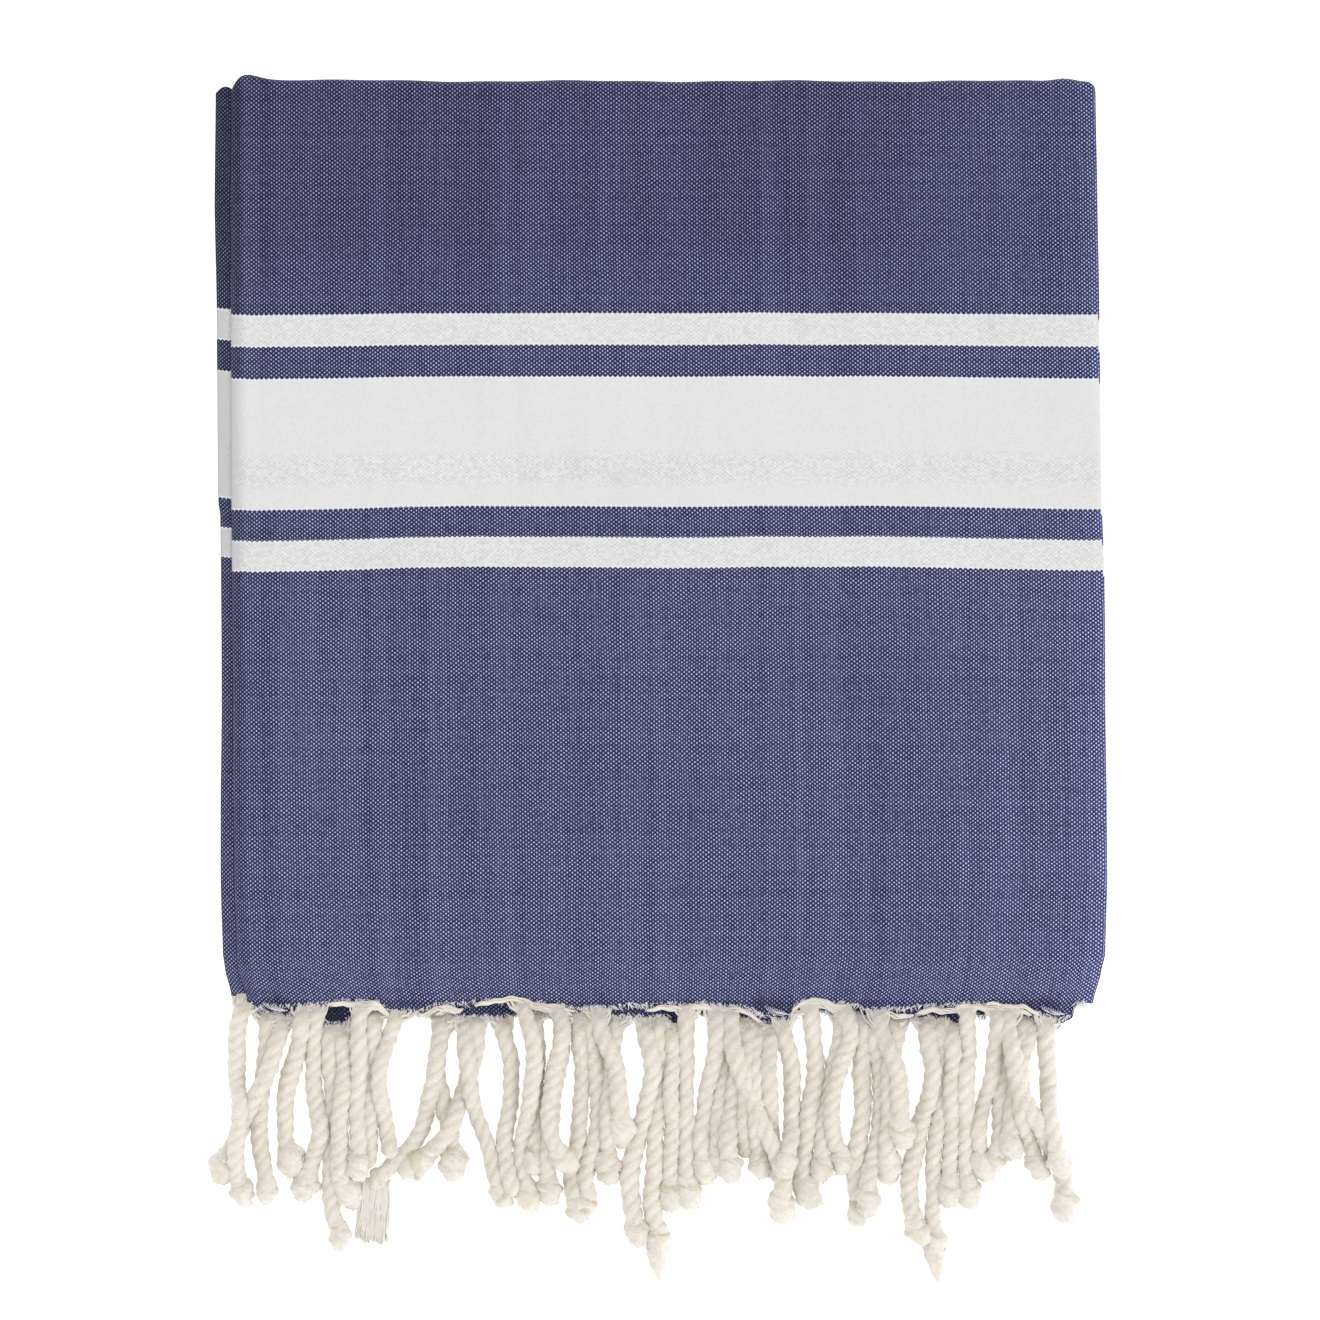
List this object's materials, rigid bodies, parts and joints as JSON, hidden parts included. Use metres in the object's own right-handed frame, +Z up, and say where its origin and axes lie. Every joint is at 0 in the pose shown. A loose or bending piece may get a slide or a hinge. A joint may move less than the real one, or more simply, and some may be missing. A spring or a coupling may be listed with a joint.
{
  "type": "hammam towel",
  "caption": "Flat-woven cotton hammam towel with light cross bands and knotted cord fringes, folded in half across its width and back and forth along its length, lying flat.",
  "frame": {"origin": "centre of the towel's box in plan, on the surface it lies on", "axes": "+X across the cloth towards the width fold, +Y from the near fringe to the top fold, +Z up"},
  "size_m": [0.515, 0.6908, 0.0159],
  "materials": {
    "cloth": "matt flat weave",
    "cord": "matt twisted cotton"
  },
  "bodies": {
    "root": {"towel_cloth": "cloth", "fringe_near": "cord", "fringe_far": "cord"}
  },
  "joints": []
}
